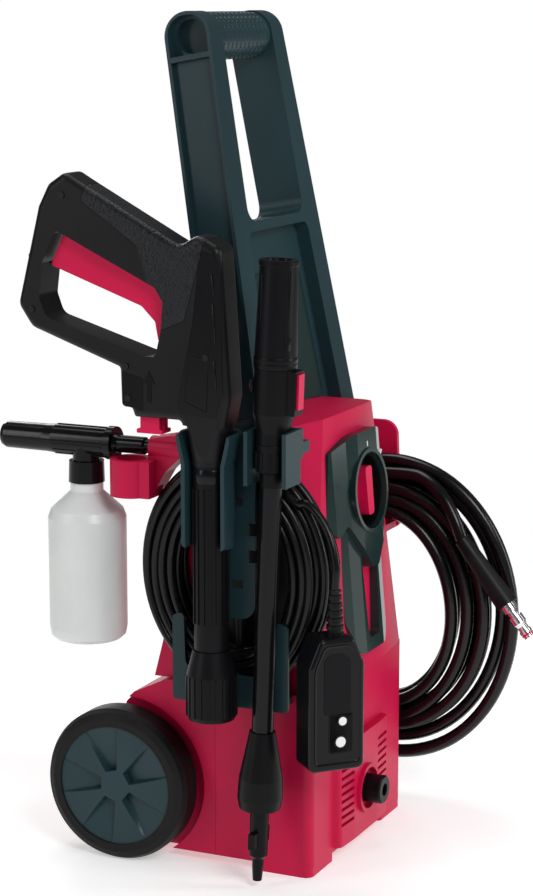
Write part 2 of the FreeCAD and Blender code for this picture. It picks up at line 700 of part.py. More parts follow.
def gun_solid():
    """Both halves of the gun together, with soft outer edges, a trigger slot and a valve room."""
    body = slab_shape("YZ", GUN_OUTLINE, gun_x - gun_half, gun_x + gun_half)
    rims = [edge for edge in body.Edges if abs(abs(middle(edge).x - gun_x) - gun_half) < 0.01]
    body = body.makeFillet(7, rims)
    body = body.cut(slab_shape("YZ", FINGER_GAP, gun_x - 40, gun_x + 40))
    neck = Part.makeCylinder(23, 20, V(gun_x, gun_y, 455)).fuse(
        [Part.makeCone(17.5, 23, 35, V(gun_x, gun_y, 420)), Part.makeCylinder(17.5, 6, V(gun_x, gun_y, 414))])
    below = Part.makeBox(60, 60, 52, V(gun_x - 30, gun_y - 30, 400))
    keep_out = body.cut(below)
    side = Part.makeBox(80, 120, 60, V(gun_x - 40, gun_y + 24, 420))
    neck = neck.common(Part.makeBox(2 * gun_half, 60, 60, V(gun_x - gun_half, gun_y - 30, 412)))
    body = keep_out.fuse(body.common(side)).fuse(neck)
    swept = [slab_shape("YZ", turned(TRIGGER, TRIGGER_PIVOT, step), gun_x - 8.6, gun_x + 8.6)
             for step in (-0.6, 3, TRIGGER_SWING + 0.6)]
    for room in swept:
        body = body.cut(room)
    body = body.cut(Part.makeCylinder(4.3, 17.2, V(gun_x - 8.6, *TRIGGER_PIVOT), V(1, 0, 0)))
    body = body.cut(Part.makeCylinder(9.2, 90, V(gun_x, gun_y, 470)))
    body = body.cut(Part.makeCylinder(12.2, 34, V(gun_x, gun_y, 410)))
    body = body.cut(Part.makeBox(8.4, 40, 8.4, V(gun_x - 4.2, 128, 594.8)))
    body = body.cut(Part.makeCylinder(6.6, 24, V(gun_x, 16, 445)))
    return body


gun = gun_solid()
half_gap = 0.05
keep(feature(gun.common(Part.makeBox(60, 300, 400, V(gun_x - half_gap - 60, -100, 400))), "gun_left"),
     "gun_left_shell")
keep(feature(gun.common(Part.makeBox(60, 300, 400, V(gun_x + half_gap, -100, 400))), "gun_right"),
     "gun_right_shell")
trigger_body = slab_shape("YZ", TRIGGER, gun_x - 8, gun_x + 8).fuse(
    Part.makeCylinder(4, 16, V(gun_x - 8, *TRIGGER_PIVOT), V(1, 0, 0)))
keep(feature(trigger_body, "trigger"), "trigger")
keep(box((gun_x - 4, 137, 595), (gun_x + 4, 150.5, 603)), "trigger_lock")
SCREWS = [(106, 661), (-36, 610), (140, 552), (40, 504), (38, 474), (-43, 517)]
keep(feature(Part.makeCompound([Part.makeCylinder(3.2, 1.2, V(gun_x - gun_half, y, z), V(-1, 0, 0))
                                for y, z in SCREWS]), "gun_screws"), "gun_screws")
keep(rod(9, 84, (gun_x, gun_y, 472), "Z"), "gun_valve")
clip = slab_shape("YZ", [(7, 440, 1), (34, 440, 1), (34, 444, 1), (30, 444), (30, 455.7), (10, 455.7), (10, 444),
                         (7, 444, 1)], gun_x - 9, gun_x + 9)
clip = clip.cut(Part.makeCylinder(6.6, 40, V(gun_x, 16, 430)))
keep(feature(clip, "gun_inlet_clip"), "gun_inlet_clip")


def gun_lance():
    """The short lance under the gun: a bayonet end inside the neck, then a ribbed tube."""
    profile = [(0, 443), (12, 443), (12, 413.7), (S.barrel_radius, 413.7), (S.barrel_radius, 236), (0, 236)]
    tube = spun(profile, (gun_x, gun_y, 0), "Z", "gun_lance")
    return fuse(tube, ribs(barrel_radius, 262, 392, 16, (gun_x, gun_y, 0)))


keep(gun_lance(), "gun_lance_tube")
nozzle_profile = [(0, 235.7), (18, 235.7), (23.5, 214), (24, 212), (24, 172), (22, 168), (8, 168), (6, 178),
                  (0, 178)]
nozzle = spun(nozzle_profile, (gun_x, gun_y, 0), "Z", "gun_nozzle")
keep(fuse(nozzle, ribs(24, 172, 211, 20, (gun_x, gun_y, 0), "Z", 2.2, 0.9)), "gun_lance_nozzle")

# ---------------------------------------------------------------- long lance

LANCE_FOOT = (-N["lance_out"], -81.4, 8)
lance_place = FreeCAD.Placement(V(*LANCE_FOOT), FreeCAD.Rotation(V(1, 0, 0), N["lance_lean"]))


def lance_piece(profile, label, extras=()):
    """A turned piece on the leaning lance; heights are measured up from the lance's tip."""
    body = spun(profile, (0, 0, 0), "Z", label + "_core")
    doc.recompute()
    shape = body.Shape.copy()
    for extra in extras:
        shape = shape.fuse(extra)
    shape.Placement = lance_place.multiply(shape.Placement)
    return keep(feature(shape, label), label)


ears = [Part.makeBox(34, 7, 15, V(-17, -3.5, 36))]
lance_piece([(0, 0), (4.5, 0), (5.5, 14), (5.5, 22), (9, 26), (9, 74), (20, 74), (22, 84), (21, 104),
             (12.5, 150), (0, 150)], "lance_fitting", ears)
lance_piece([(0, 150.1), (10.5, 150.1), (10.5, 403), (0, 403)], "lance_tube")
latch_room = Part.makeBox(12.8, 20, 34, V(-6.4, -32.5, 463))
body_profile = [(0, 403.1), (15.5, 403.1), (15.5, 440), (19.5, 458), (19.5, 499.5), (0, 499.5)]
body = spun(body_profile, (0, 0, 0), "Z", "grip")
doc.recompute()
lance_body = body.Shape.fuse(Part.makeBox(19, 12, 41, V(-9.5, -25, 458))).cut(latch_room)
lance_body.Placement = lance_place
keep(feature(lance_body.removeSplitter(), "lance_body"), "lance_body")
latch = Part.makeBox(12, 11, 33, V(-6, -27, 463.5))
latch.Placement = lance_place
keep(feature(latch, "lance_latch"), "lance_latch")
cap_profile = [(0, 500), (20, 500), (20.5, 504), (20, 512), (17.8, 590), (17.8, 600), (12, 600), (9, 585), (0, 585)]
lance_piece(cap_profile, "lance_nozzle_cap")

# ---------------------------------------------------------------- holster on the left side

LANCE_Y = -97.5
plate_out, plate_in = -150, -146.5


def accessory_holster():
    """A neck over the cord coil carries the gun's trough, the lance's channel and a slotted plate."""
    trough_top, trough_low, flare_low = 445, 336, 416
    height = flare_low - trough_low
    rise = trough_top - flare_low
    tight, wide, skin = 18.4, 25, 4
    arms = [(gun_y - tight - skin, trough_low, 5), (gun_y + tight + skin, trough_low, 5),
            (gun_y + tight + skin, flare_low), (gun_y + wide + skin, trough_top, 5),
            (gun_y - wide - skin, trough_top, 5), (gun_y - tight - skin, flare_low)]
    passage = [(gun_y - tight, trough_low - 1), (gun_y + tight, trough_low - 1), (gun_y + tight, flare_low),
               (gun_y + wide + 0.3, trough_top + 1), (gun_y - wide - 0.3, trough_top + 1),
               (gun_y - tight, flare_low)]
    outside = Part.makeCylinder(tight + skin, height, V(gun_x, gun_y, trough_low)).fuse(
        [Part.makeCone(tight + skin, wide + skin, rise, V(gun_x, gun_y, flare_low)),
         slab_shape("YZ", arms, gun_x - 18, gun_x)])
    inside = Part.makeCylinder(tight, height + 2, V(gun_x, gun_y, trough_low - 1)).fuse(
        [Part.makeCone(tight, wide + 0.3, rise + 1, V(gun_x, gun_y, flare_low)),
         slab_shape("YZ", passage, gun_x - 60, gun_x)])
    trough = outside.cut(inside).cut(Part.makeBox(60, 80, 200, V(-144.4, gun_y - 40, 221.4)))
    channel = Part.makeBox(34, 43, 51, V(-178.3, LANCE_Y - 21.5, 398)).fuse(
        Part.makeBox(6, 43, 27.5, V(-144.6, LANCE_Y - 21.5, 421.5)))
    channel = channel.cut(Part.makeBox(60, 35, 60, V(-203.4, LANCE_Y - 17.5, 395)))
    plate = slab_shape("YZ", [(-75, 262, 16), (-32, 262, 16), (-32, 441), (-75, 441)], plate_out, plate_in)
    neck = Part.makeBox(38.8, 82, 11, V(-150.9, -114, 422.4))
    neck = neck.cut(Part.makeBox(60, 35, 60, V(-203.4, LANCE_Y - 17.5, 395)))
    body = plate.fuse([neck, channel]).cut(inside).fuse(trough)
    for y, z, wide, tall in ((-62, 372, 14, 8), (-78, 344, 10, 12), (-78, 318, 10, 12), (-62, 292, 12, 8)):
        body = body.cut(Part.makeBox(20, wide, tall, V(-156, y, z)))
    return body.cut(Part.makeBox(60, 400, 400, V(-112.1, -200, 200))).removeSplitter()


keep(feature(accessory_holster(), "accessory_holster"), "accessory_holster")


def lower_cord_hook():
    """A shelf under the cord coil whose outer lip rises to an ear at each end."""
    lip = slab_shape("YZ", [(-108, 174, 4), (14, 174, 4), (14, 258, 5), (2, 262, 4), (0, 206, 10), (-92, 206, 10),
                            (-95, 262, 4), (-108, 258, 5)], -148.2, -145)
    shelf = Part.makeBox(26.2, 106, 6, V(-145.3, -100, 176))
    nozzle_room = Part.makeCylinder(26.5, 90, V(gun_x, gun_y, 150))
    return lip.fuse(shelf).cut(nozzle_room).removeSplitter()


keep(feature(lower_cord_hook(), "lower_cord_hook"), "lower_cord_hook")


def accessory_bracket():
    """A red arm behind the coil with an upright ring and a level socket for the soap nozzle."""
    arm = slab_shape("YZ", [(-30, 423, 2), (-30, 433, 4), (24, 430, 8), (44, 426, 4), (46, 400, 6), (46, 374, 3),
                            (39, 374, 3), (27, 394, 6), (8, 413, 8)], -136, -112.2)
    ring = Part.makeCylinder(21, 36, V(-138, 62, 370))
    bridge = Part.makeBox(30, 24, 36, V(-152, 36, 370))
    socket = Part.makeCylinder(11, 40, V(-N["bottle_out"], 4, N["soap_high"]), V(0, 1, 0))
    body = arm.fuse([ring, bridge, socket])
    body = body.cut(Part.makeCylinder(14.5, 60, V(-138, 62, 360)))
    body = body.cut(Part.makeCylinder(7, 60, V(-N["bottle_out"], 8, N["soap_high"]), V(0, 1, 0)))
    body = body.cut(Part.makeBox(60, 60, 60, V(-160, 46, 406.2)))
    return body.removeSplitter()


keep(feature(accessory_bracket(), "accessory_bracket"), "accessory_bracket")

# ---------------------------------------------------------------- soap nozzle and bottle

soap_at = (-S.bottle_out, 0, S.soap_high)
soap_profile = [(0, 10), (6.9, 10), (6.9, 50), (8.5, 52), (8.5, 80), (10, 84), (16.5, 84), (16.5, 91), (14.5, 92),
                (14.5, 150), (0, 150)]
soap = spun(soap_profile, soap_at, "Y", "soap_body")
soap_neck = rod(13.5, 22, (-S.bottle_out, S.bottle_back, S.soap_high), "-Z")
neck_cap_profile = [(0, 398), (17.2, 398), (17.8, 377), (14.3, 377), (14.3, 394), (0, 394)]
bottle_at = (-S.bottle_out, S.bottle_back, 0)
cap = spun(neck_cap_profile, bottle_at, "Z", "bottle_cap")
keep(fuse(soap, soap_neck, cap, ribs(14.5, 94, 148, 14, (-N["bottle_out"], 0, N["soap_high"]), "Y", 2, 0.8)),
     "soap_nozzle_body")
tip_profile = [(0, 150.2), (14.2, 150.2), (13.6, 160), (13.2, 204), (11.5, 208), (7, 208), (5, 198), (0, 198)]
keep(spun(tip_profile, soap_at, "Y", "soap_tip"), "soap_nozzle_tip")
radius = S.bottle_radius
bottle_profile = [(0, 220), (radius - 6, 220), (radius - 1.5, 224), (radius, 232), (radius, 342), (radius - 3, 350),
                  (16.2, 368), (16.2, 376.4), (14, 376.4), (14, 393), (12, 393), (12, 368), (14.5, 365.5),
                  (radius - 5, 348), (radius - 1.6, 341), (radius - 1.6, 232), (radius - 3, 225.5),
                  (radius - 6.5, 221.8), (0, 221.8)]
keep(spun(bottle_profile, bottle_at, "Z", "soap_bottle"), "soap_bottle")
dip_top, dip_foot = V(-128, 117, 393.4), V(-124, 99, 230)
dip = Part.makeCylinder(3, (dip_foot - dip_top).Length, dip_top, dip_foot - dip_top)
weight = Part.makeCylinder(5, 13, dip_foot - V(0, 0, 2), V(0, 0, 1))
keep(feature(dip.fuse(weight).removeSplitter(), "dip_tube"), "dip_tube")

# ---------------------------------------------------------------- power cord and plug

cord, hose = N["cord_width"], N["hose_width"]
keep(fuse(rod(12, 6, (-tower_half, -45, 268), "-X"), taper(7.5, 4.6, 36, (-120, -45, 262), "-Z"),
          box((-128, -53, 258), (-112, -37, 270))), "cord_gland")
oval_ring((-45, 302), (100, 118), (58, 76), -144, -113.2, "power_cord_coil")
tube_along([(-136, -128, 372), (-141, -143, 360), (-144, -154, 342), (-147, -157, 322), (-148, -156, 301)],
           cord, "power_cord_tail")

plug_face = FreeCAD.Placement(V(-152, -153, 194), FreeCAD.Rotation(V(0, 0, 1), -43))
TEST_AT, RESET_AT = (4.4, -15), (2.5, -35)
plug_half, plug_up, plug_thick = N["plug_width"] / 2, N["plug_height"] / 2, N["plug_depth"]


def gfci_plug_body():
    """A boxy plug with a sloping shoulder, its face turned outwards; local -Y is the face."""
    outline = mirrored([(plug_half, -plug_up, 7), (plug_half, 38, 8), (17, plug_up, 6)])
    body = slab_shape("XZ", outline, -plug_thick / 2, plug_thick / 2)
    rims = [edge for edge in body.Edges if abs(abs(middle(edge).y) - plug_thick / 2) < 0.01]
    body = body.makeFillet(4, rims)
    for x, z, r in ((*TEST_AT, 4.2), (*RESET_AT, 5.2)):
        body = body.cut(Part.makeCylinder(r, 9, V(x, -plug_thick / 2 - 1, z), V(0, 1, 0)))
    body.Placement = plug_face
    return body


plug = gfci_plug_body()
keep(feature(plug, "gfci_plug_body"), "gfci_plug_body")
for label, x, z, r in (("gfci_test_button", *TEST_AT, 4), ("gfci_reset_button", *RESET_AT, 5)):
    button = Part.makeCylinder(r, 6, V(x, -plug_thick / 2 - 2, z), V(0, 1, 0))
    button.Placement = plug_face
    keep(feature(button, label), label)
blades = [Part.makeBox(1.5, 17, 6.3, V(sign * 6.35 - 0.75, plug_thick / 2 + 0.05, 3)) for sign in (-1, 1)]
blades.append(Part.makeCylinder(2.4, 19, V(0, plug_thick / 2 + 0.05, -6), V(0, 1, 0)))
prongs = Part.makeCompound(blades)
prongs.Placement = plug_face
keep(feature(prongs, "plug_prongs"), "plug_prongs")
relief_at = plug_face.multVec(V(0, 0, plug_up))
relief_length = 300.9 - relief_at.z
keep(taper(9, 5.5, relief_length, (-148, -156, 301 - relief_length), "Z"), "plug_strain_relief")

# ---------------------------------------------------------------- hose, its hook and its ends

HOSE_X = (136, 165)
HOSE_CENTRE = (-90, 210)
HOSE_INNER = (80, 100)
oval_ring(HOSE_CENTRE, (125, 150), HOSE_INNER, *HOSE_X, "hose_coil")


def hose_hook():
    """A red J on the right side: a shelf from the tower with a rounded upright end."""
    shelf = Part.makeBox(62, 58, 7, V(111, -94, 291))
    end = slab_shape("YZ", [(-97, 289, 8), (-33, 289, 8), (-38, 404, 16), (-92, 404, 16)], 167, 173)
    rib = slab_shape("XZ", [(111, 250), (111, 292), (150, 292)], -68, -62)
    foot = slab_shape("YZ", [(-97, 240, 8), (-33, 240, 8), (-33, 306, 8), (-97, 306, 8)], 112.1, 116)
    seat = oval_disc(HOSE_CENTRE, HOSE_INNER[0] - 0.3, HOSE_INNER[1] - 0.3, *HOSE_X)
    room = Part.makeBox(HOSE_X[1] - HOSE_X[0] + 1, 300, 200, V(HOSE_X[0] - 0.5, -200, 240)).cut(seat)
    return shelf.fuse([end, rib]).cut(room).fuse(foot).cut(outer).removeSplitter()


keep(feature(hose_hook(), "hose_hook"), "hose_hook")
tube_along([(137, -146, 345), (130, -162, 331), (127.5, -174, 312), (126, -182, 293)], hose, "hose_tail")
boot_from, boot_to = V(126, -182, 293), V(124, -233, 230)
boot_way = boot_to - boot_from
boot = Part.makeCone(8.2, 11.8, boot_way.Length, boot_from, boot_way)
keep(feature(boot, "hose_boot"), "hose_boot")
way = V(boot_way)
way.normalize()
nipple = Part.makeCylinder(8, 8, boot_to, way).fuse([
    Part.makeCylinder(5.5, 40, boot_to, way), Part.makeCylinder(7.5, 9, boot_to + way * 14, way),
    Part.makeCone(7.5, 5.5, 4, boot_to + way * 23, way), Part.makeCylinder(6.6, 4, boot_to + way * 31, way)])
keep(feature(nipple.removeSplitter(), "hose_nipple"), "hose_nipple")
pump_end, pump_way = V(150, 10, 318), V(0, 0.5, -0.866)
connector = Part.makeCylinder(9, 40, pump_end, pump_way).fuse(
    Part.makeCylinder(12.5, 14, pump_end + pump_way * 20, pump_way))
keep(feature(connector, "hose_pump_end"), "hose_pump_end")

# ---------------------------------------------------------------- screws

SCREW_SPOTS = [(-80, 30), (80, 30), (-80, 140), (80, 140)]
screw_heads = [Part.makeCylinder(3.5, 1.5, V(x, back, z), V(0, 1, 0)) for x, z in SCREW_SPOTS]
keep(feature(Part.makeCompound(screw_heads), "casing_screws"), "casing_screws")

# ---------------------------------------------------------------- checks and export

doc.recompute()
for thing in doc.Objects:
    if "Invalid" in thing.State or "Error" in thing.State:
        raise RuntimeError(f"{thing.Name} ({thing.Label}) is {thing.State}")
os.makedirs("parts", exist_ok=True)
for node in NODES:
    shape = node.Shape
    if shape.isNull() or not shape.isValid() or not shape.Solids:
        raise RuntimeError(f"{node.Label} has a bad shape")
    shape.exportStep(f"parts/{node.Label}.step")
    print(f"{node.Label}: {len(shape.Solids)} solids, {shape.Volume / 1000:.1f} cm3")
print(f"{len(NODES)} nodes written")
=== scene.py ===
# %% [markdown]
# # An upright pressure washer
#
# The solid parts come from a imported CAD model. This lesson gives them their plastics, rubbers and
# metals, winds the cord and the hose, and adds the small mouldings that a hand would feel. Work starts
# with the frame, because every later piece is placed from it.

import json
import math

import bmesh
import bpy
from mathutils import Matrix, Vector


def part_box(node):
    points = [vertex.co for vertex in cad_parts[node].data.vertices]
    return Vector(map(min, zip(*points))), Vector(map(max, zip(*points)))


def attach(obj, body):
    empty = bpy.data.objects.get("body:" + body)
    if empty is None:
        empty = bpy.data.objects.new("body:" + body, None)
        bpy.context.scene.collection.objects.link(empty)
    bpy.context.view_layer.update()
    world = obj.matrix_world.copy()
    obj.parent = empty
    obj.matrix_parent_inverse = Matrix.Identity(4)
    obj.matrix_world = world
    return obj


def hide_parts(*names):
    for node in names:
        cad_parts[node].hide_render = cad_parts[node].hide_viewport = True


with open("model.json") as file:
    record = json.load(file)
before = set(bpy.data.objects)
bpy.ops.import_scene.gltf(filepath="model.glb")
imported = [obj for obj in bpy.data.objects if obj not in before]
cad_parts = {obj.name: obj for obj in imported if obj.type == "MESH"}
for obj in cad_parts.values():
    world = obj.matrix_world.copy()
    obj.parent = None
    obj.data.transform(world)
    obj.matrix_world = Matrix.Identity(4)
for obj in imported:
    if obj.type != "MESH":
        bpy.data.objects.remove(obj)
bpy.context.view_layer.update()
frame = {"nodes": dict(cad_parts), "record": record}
nodes = frame["nodes"]
print("parts in the frame:", len(nodes))

# %% [markdown]
# ## The camera
#
# The camera looks at the gun side, a little from above. A camera can be aimed with angles or with a
# matrix of its own axes. The matrix is used here, because a level right-hand axis keeps the upright
# tower from leaning in the view. The lens is long, so the near wheel isn't swollen.

# %% Camera
eye = Vector((-2.1055, -0.982, 0.840))
right = Vector((0.4163, -0.9092, 0.0)).normalized()
back = Vector((-0.8931, -0.4089, 0.1874)).normalized()
up = back.cross(right)
lens = bpy.data.cameras.new("camera")
lens.lens = 94.4
lens.sensor_width = 36
camera = bpy.data.objects.new("camera", lens)
camera.matrix_world = Matrix.Translation(eye) @ Matrix((right, up, back)).transposed().to_4x4()
bpy.context.scene.collection.objects.link(camera)
bpy.context.scene.camera = camera
print("camera distance:", round(eye.length, 2), "m")

# %% [markdown]
# ## Studio light
#
# A white room lights black plastic badly unless something bright is reflected in it. Five large soft
# panels give long highlights down the lance and cords. The surround is white to look at, but it lights
# the pieces only weakly: a bright surround would turn black plastic grey.

# %% Lights


def lamp(name, spot, target, size, power):
    """A soft square panel of light, aimed at a point."""
    data = bpy.data.lights.new(name, "AREA")
    data.shape = "RECTANGLE"
    data.size, data.size_y = size
    data.energy = power
    panel = bpy.data.objects.new(name, data)
    aim = Vector(target) - Vector(spot)
    panel.matrix_world = Matrix.Translation(spot) @ aim.to_track_quat("-Z", "Y").to_matrix().to_4x4()
    bpy.context.scene.collection.objects.link(panel)


lamp("key_panel", (-2.0, -2.3, 2.4), (0, 0, 0.35), (1.3, 1.3), 58)
lamp("side_panel", (-2.6, 1.9, 1.5), (0, 0, 0.4), (0.5, 2.2), 22)
lamp("front_panel", (1.0, -3.0, 1.2), (0, 0, 0.4), (0.7, 2.0), 34)
lamp("top_panel", (0.3, 0.5, 3.2), (0, 0, 0.3), (1.8, 1.8), 40)
lamp("rear_panel", (2.4, 2.2, 1.6), (0, 0, 0.4), (0.8, 2.0), 26)

SEEN, LIGHTING = 1.0, 0.13
world = bpy.data.worlds.new("studio")
world.use_nodes = True
sky = world.node_tree
path = sky.nodes.new("ShaderNodeLightPath")
glow = sky.nodes.new("ShaderNodeMix")
glow.inputs["A"].default_value, glow.inputs["B"].default_value = LIGHTING, SEEN
sky.links.new(path.outputs["Is Camera Ray"], glow.inputs["Factor"])
sky.links.new(glow.outputs["Result"], sky.nodes["Background"].inputs["Strength"])
sky.nodes["Background"].inputs["Color"].default_value = (1, 1, 1, 1)
bpy.context.scene.world = world
bpy.context.scene.view_settings.view_transform = "Standard"

# %% [markdown]
# ## A way to write finishes
#
# A finish is a small sum of patterns, and sums are easier to read as text than as a web of boxes. One
# class wraps a socket so that plus and times add Math nodes. Another makes a material and any node in
# it. Only colour, roughness, the bump and a mask or two change over a surface.

# %% Value and Finish


class Value:
    """A number that changes over the surface: plain arithmetic adds the Math nodes."""

    def __init__(self, finish, socket):
        self.finish = finish
        self.socket = socket

    def _math(self, operation, first, second):
        return self.finish.node("ShaderNodeMath", {"operation": operation}, {0: first, 1: second})

    def __add__(self, other):
        return self._math("ADD", self, other)

    def __rsub__(self, other):
        return self._math("SUBTRACT", other, self)

    def __mul__(self, other):
        return self._math("MULTIPLY", self, other)

    def __pow__(self, other):
        return self._math("POWER", self, other)

    def above(self, edge):
        return self._math("GREATER_THAN", self, edge)

    def most(self, other):
        return self._math("MAXIMUM", self, other)

    def least(self, other):
        return self._math("MINIMUM", self, other)

    def __abs__(self):
        return self._math("ABSOLUTE", self, 0.0)

    __radd__ = __add__
    __rmul__ = __mul__


class Finish:
    """A material, its one shader, and a method that makes any other node."""

    def __init__(self, name, **constants):
        self.material = bpy.data.materials.new(name)
        self.material.use_nodes = True
        self.tree = self.material.node_tree
        self.shader = self.tree.nodes["Principled BSDF"]
        for socket, value in constants.items():
            self.shader.inputs[socket.replace("_", " ")].default_value = value

    def node(self, kind, settings, values, output=0):
        """Any node: its type, its settings, then a value or a link for each of its sockets."""
        made = self.tree.nodes.new(kind)
        for name, value in settings.items():
            setattr(made, name, value)
        for name, value in values.items():
            if isinstance(value, Value):
                self.tree.links.new(value.socket, made.inputs[name])
            else:
                made.inputs[name].default_value = value
        return Value(self, made.outputs[output])

    def place(self, stretch=(1, 1, 1)):
        """The point on the surface, in metres, stretched along each axis."""
        spot = self.node("ShaderNodeTexCoord", {}, {}, "Object")
        return self.node("ShaderNodeMapping", {}, {"Vector": spot, "Scale": stretch})

    def noise(self, scale, detail, stretch=(1, 1, 1)):
        """Soft patches, about one over scale metres across."""
        return self.node("ShaderNodeTexNoise", {}, {"Vector": self.place(stretch), "Scale": scale,
                                                    "Detail": detail})

    def cells(self, scale):
        """The distance to the nearest of many scattered points."""
        return self.node("ShaderNodeTexVoronoi", {"feature": "F1"}, {"Vector": self.place(), "Scale": scale})

    def mix(self, amount, first, second):
        """A colour between two colours."""
        return self.node("ShaderNodeMix", {"data_type": "RGBA"}, {0: amount, 6: first, 7: second}, 2)

    def spread(self, source, low, high):
        """Stretches the middle of a pattern to run from 0 to 1."""
        return self.node("ShaderNodeMapRange", {}, {"Value": source, "From Min": low, "From Max": high})

    def feed(self, **sockets):
        """Links a pattern to each named socket of the shader."""
        for name, value in sockets.items():
            self.tree.links.new(value.socket, self.shader.inputs[name.replace("_", " ")])

    def raise_by(self, height, distance, strength):
        """Lets a pattern tilt the surface, as a relief of that depth in metres would."""
        self.feed(Normal=self.node("ShaderNodeBump", {}, {"Height": height, "Distance": distance,
                                                          "Strength": strength}))


def shade(colour, factor):
    """A lighter or darker colour, with the fourth number that a colour socket wants."""
    return tuple(min(1, c * factor) for c in colour[:3]) + (1,)


# %% [markdown]
# ## Moulded plastics
#
# Nearly everything here is polypropylene out of a spark-textured mould. That texture is a fine grain
# that breaks up highlights, on top of slow changes in gloss where the plastic flowed. One function
# makes red, slate and black from the same grain, and gloss versions turn the grain down.

# %% Plastic finishes


def moulded(name, colour, rough, grain=900.0, depth=0.00005, swing=0.1, shine=0.5, coat=0.0):
    """Spark-textured plastic with flow marks, faint dust and rubbed patches."""
    made = Finish(name, Specular_IOR_Level=shine, Coat_Weight=coat, Coat_Roughness=0.12)
    flow = made.spread(made.noise(9.0, 4.0, (1, 1, 0.4)), 0.35, 0.65)
    fine = made.noise(grain, 2.0)
    rubbed = made.spread(made.noise(38.0, 6.0), 0.62, 0.8)
    tint = made.mix(flow, shade(colour, 1 - swing), shade(colour, 1 + swing))
    made.feed(Base_Color=made.mix(rubbed * 0.25, tint, shade(colour, 1.35)))
    made.feed(Roughness=flow * 0.08 + fine * 0.06 + rubbed * -0.06 + (rough - 0.07))
    made.raise_by(fine, depth, 0.6)
    return made.material


RED = (0.545, 0.006, 0.058)
SLATE = (0.0135, 0.036, 0.043)
BLACK = (0.0038, 0.004, 0.0048)
BRIGHT_RED = (0.64, 0.006, 0.066)
DARK_SLATE = (0.008, 0.025, 0.023)

red_plastic = moulded("red_plastic", RED, 0.4, depth=0.00004, swing=0.06, shine=0.18)
red_gloss = moulded("red_gloss", BRIGHT_RED, 0.34, grain=400.0, depth=0.00001, swing=0.05, shine=0.2)
slate_plastic = moulded("slate_plastic", SLATE, 0.36, depth=0.00004, swing=0.12, shine=0.24)
slate_gloss = moulded("slate_gloss", DARK_SLATE, 0.17, grain=300.0, depth=0.00001, shine=0.34, coat=0.12)
black_plastic = moulded("black_plastic", BLACK, 0.36, depth=0.00006, swing=0.2, shine=0.13)
black_gloss = moulded("black_gloss", BLACK, 0.2, grain=400.0, depth=0.00002, swing=0.2, shine=0.2)
white_plastic = moulded("white_plastic", (0.78, 0.79, 0.8), 0.35, grain=600.0, depth=0.00001, swing=0.03)
print("plastics:", len(bpy.data.materials))

# %% [markdown]
# ## Rubber and cord jackets
#
# The tyres are dull foamed rubber with scuffs. Cord jackets are smoother and shine along their
# length. They could be three materials drawn one by one, but they differ only in numbers, so one
# function makes them all, with more or less coat on top.

# %% Rubber finishes


def rubbery(name, colour, rough, grain, depth, coat=0.0):
    """Black rubber with paler scuffs and a fine grain."""
    made = Finish(name, Coat_Weight=coat, Coat_Roughness=0.25, Specular_IOR_Level=0.2)
    patches = made.spread(made.noise(30.0, 5.0), 0.4, 0.7)
    fine = made.noise(grain, 3.0)
    made.feed(Base_Color=made.mix(patches, shade(colour, 0.8), shade(colour, 1.5)))
    made.feed(Roughness=patches * 0.12 + fine * 0.08 + (rough - 0.1))
    made.raise_by(fine, depth, 0.7)
    return made.material


tyre = rubbery("tyre", (0.0052, 0.0052, 0.0058), 0.55, 500.0, 0.0001)
soft_rubber = rubbery("soft_rubber", (0.006, 0.006, 0.0066), 0.45, 700.0, 0.00005)
cord_jacket = rubbery("cord_jacket", (0.0035, 0.0035, 0.004), 0.3, 900.0, 0.00003, 0.12)
hose_jacket = rubbery("hose_jacket", (0.0038, 0.0038, 0.0042), 0.25, 800.0, 0.00003, 0.25)
print("with rubbers:", len(bpy.data.materials))

# %% [markdown]
# ## Metals and clear plastic
#
# Small metal pieces need streaks more than colour. The streaks are noise squeezed along the tool's
# path. The soap bottle is milky: light enters it, so it gets scattering and a little see-through,
# which lets the weight of the dip tube show as a blue shadow.

# %% Metal and bottle finishes


def metal(name, colour, rough, stretch, swing=0.15):
    """Bare or plated metal with tool streaks and a few dull spots."""
    made = Finish(name, Metallic=1.0)
    streaks = made.noise(60.0, 4.0, stretch)
    spots = made.spread(made.noise(140.0, 3.0), 0.55, 0.8)
    made.feed(Base_Color=made.mix(streaks, shade(colour, 1 - swing), shade(colour, 1.05)))
    made.feed(Roughness=streaks * 0.12 + spots * 0.1 + (rough - 0.05))
    made.raise_by(streaks, 0.00003, 0.4)
    return made.material


def milky(name, colour, alpha, scatter):
    """Plastic that lets light in: it scatters inside and shows a little of what is behind."""
    made = Finish(name, Alpha=alpha, Subsurface_Weight=scatter, Subsurface_Radius=(0.03, 0.03, 0.035),
                  Subsurface_Scale=0.3)
    cloud = made.spread(made.noise(24.0, 4.0, (1, 1, 0.5)), 0.35, 0.65)
    made.feed(Base_Color=made.mix(cloud, shade(colour, 0.95), shade(colour, 1.04)))
    made.feed(Roughness=cloud * 0.1 + 0.3)
    made.raise_by(cloud, 0.0002, 0.3)
    return made.material


steel = metal("steel", (0.56, 0.56, 0.57), 0.35, (1, 1, 8))
black_steel = metal("black_steel", (0.03, 0.03, 0.032), 0.4, (1, 1, 4))
aluminium = metal("aluminium", (0.66, 0.67, 0.68), 0.45, (1, 1, 1))
brass = metal("brass", (0.75, 0.56, 0.26), 0.3, (1, 1, 6))
chrome = metal("chrome", (0.82, 0.82, 0.84), 0.12, (4, 1, 1), 0.06)
bottle_wall = milky("bottle_wall", (0.93, 0.965, 1.0), 0.86, 0.5)
clear_tube = milky("clear_tube", (0.35, 0.45, 0.55), 0.95, 0.2)

